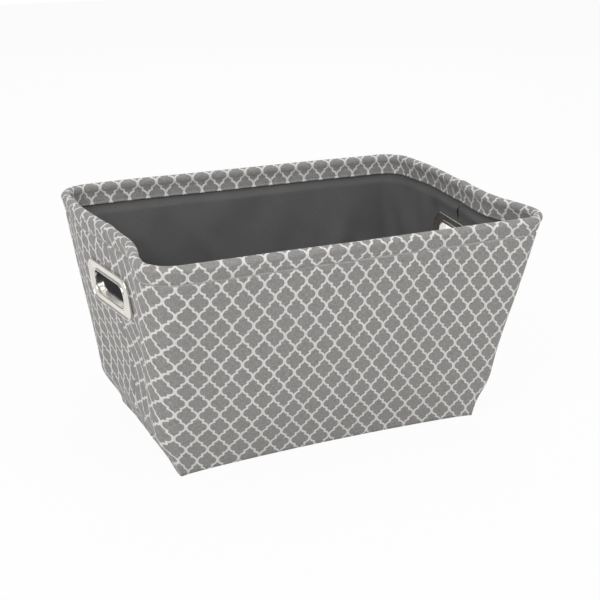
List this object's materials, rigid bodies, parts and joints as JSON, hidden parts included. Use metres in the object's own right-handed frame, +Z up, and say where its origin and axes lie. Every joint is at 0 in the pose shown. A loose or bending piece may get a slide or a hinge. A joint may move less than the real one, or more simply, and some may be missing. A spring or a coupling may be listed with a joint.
{
  "type": "fabric storage bin",
  "caption": "Tapered rectangular storage bin of printed canvas with a plain lining, a rolled wire rim, a metal-framed hand hold in each end and a loose covered bottom board.",
  "frame": {"origin": "on the floor, at the middle of the bin's footprint", "axes": "+X along the bin's length from hand hold to hand hold, +Y from the front panel to the back panel, +Z up"},
  "size_m": [0.38, 0.286, 0.21],
  "materials": {
    "printed_canvas": "matt woven canvas, warm mid grey, printed all over with a pale off-white trellis of four-lobed cells",
    "felt_interlining": "stiff pressed felt",
    "plain_lining": "plain smooth woven lining, charcoal grey, slightly lustrous",
    "rim_wire": "drawn steel wire",
    "crimp_sleeve": "crimped tube",
    "hand_hold_frame": "polished nickel plate, warm",
    "backing_sheet": "stiff plastic sheet",
    "fibreboard": "pressed grey-brown board",
    "board_cover": "same plain cloth as the lining, edges sewn"
  },
  "bodies": {
    "bin": {"outer_front_panel": "printed_canvas", "outer_back_panel": "printed_canvas", "outer_base_panel": "printed_canvas", "front_interlining": "felt_interlining", "back_interlining": "felt_interlining", "lining_front_panel": "plain_lining", "lining_back_panel": "plain_lining", "lining_base_panel": "plain_lining", "rim_wire": "rim_wire", "rim_wire_ferrule": "crimp_sleeve", "left_handle_outer_frame": "hand_hold_frame", "left_handle_inner_frame": "hand_hold_frame", "right_handle_outer_frame": "hand_hold_frame", "right_handle_inner_frame": "hand_hold_frame", "left_handle_backing": "backing_sheet", "right_handle_backing": "backing_sheet"},
    "bottom_insert": {"bottom_board": "fibreboard", "bottom_board_cover": "board_cover"}
  },
  "joints": [
    {"name": "bottom_insert_lift", "type": "slide", "parent": "bin", "child": "bottom_insert", "axis": [0, 0, 1], "range_m": [0, 0.25]}
  ]
}
